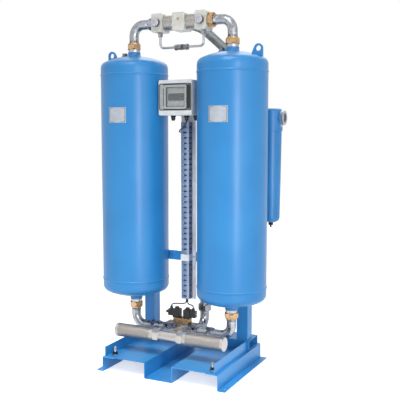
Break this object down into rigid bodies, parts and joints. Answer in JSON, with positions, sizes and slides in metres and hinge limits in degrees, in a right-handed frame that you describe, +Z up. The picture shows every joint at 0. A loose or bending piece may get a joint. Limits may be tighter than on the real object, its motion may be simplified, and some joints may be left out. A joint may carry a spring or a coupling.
{
  "type": "desiccant air dryer",
  "caption": "Twin-tower compressed air dryer with desiccant vessels, check valve manifold, exhaust silencers, after-filter and control box on a folded sheet base.",
  "frame": {"origin": "on the floor under the base, midway between the tower axes", "axes": "+X to the right as seen from the control box side, +Y to the rear, +Z up"},
  "size_m": [0.9342, 0.5782, 1.8418],
  "materials": {
    "blue_coat": "gloss powder coat",
    "filter_coat": "gloss powder coat",
    "zinc": "zinc plated",
    "desiccant": "ceramic beads",
    "stainless": "satin",
    "silencer_mesh": "woven mesh",
    "plate": "satin, bare",
    "brass": "machined",
    "galvanised": "galvanised",
    "cream_coat": "satin coat",
    "aluminium": "as cast and machined",
    "black_plastic": "moulded",
    "lead_sheath": "sheath",
    "element": "pleated",
    "box_grey": "moulded",
    "window": "clear",
    "module": "moulded",
    "duct_grey": "moulded",
    "clamp_white": "satin coat",
    "strip_steel": "zinc plated"
  },
  "bodies": {
    "dryer": {"base_deck": "blue_coat", "rail_left": "blue_coat", "rail_right": "blue_coat", "deck_bolts": "zinc", "cross_beam": "blue_coat", "post_left": "blue_coat", "post_right": "blue_coat", "vessel_left": "blue_coat", "vessel_right": "blue_coat", "bed_left": "desiccant", "bed_right": "desiccant", "screen_left": "stainless", "screen_right": "stainless", "fill_plugs": "zinc", "nameplate_left": "plate", "nameplate_right": "plate", "union_top_left": "brass", "union_top_right": "brass", "union_bottom_left": "brass", "union_bottom_right": "brass", "elbow_top_left": "galvanised", "elbow_top_right": "galvanised", "elbow_bottom_left": "galvanised", "elbow_bottom_right": "galvanised", "block_left": "cream_coat", "block_right": "cream_coat", "block_centre": "cream_coat", "check_body_left": "aluminium", "check_body_right": "aluminium", "block_caps": "aluminium", "manifold_union": "brass", "purge_tube": "stainless", "purge_valve": "black_plastic", "purge_fittings": "zinc", "outlet_pipe": "galvanised", "filter_head": "filter_coat", "filter_bowl": "filter_coat", "filter_element": "element", "filter_drain": "black_plastic", "control_box": "box_grey", "control_module": "module", "cable_glands": "black_plastic", "box_lead": "lead_sheath", "wiring_duct": "duct_grey", "duct_cover": "duct_grey", "duct_clamp": "clamp_white", "mounting_strip": "strip_steel", "brace_lower": "blue_coat", "brace_upper": "blue_coat", "frame_bolts": "zinc", "valve_body": "aluminium", "pilot_block": "brass", "coil_left": "black_plastic", "coil_right": "black_plastic", "coil_leads": "lead_sheath", "exhaust_tee": "galvanised", "silencer_left": "silencer_mesh", "silencer_right": "silencer_mesh", "inlet_pipe": "galvanised"},
    "window": {"control_window": "window"}
  },
  "joints": [
    {"name": "window_hinge", "type": "hinge", "parent": "dryer", "child": "window", "pos_m": [-0.0691, -0.0808, 1.4155], "axis": [0, 0, -1], "range_deg": [0, 110]}
  ]
}
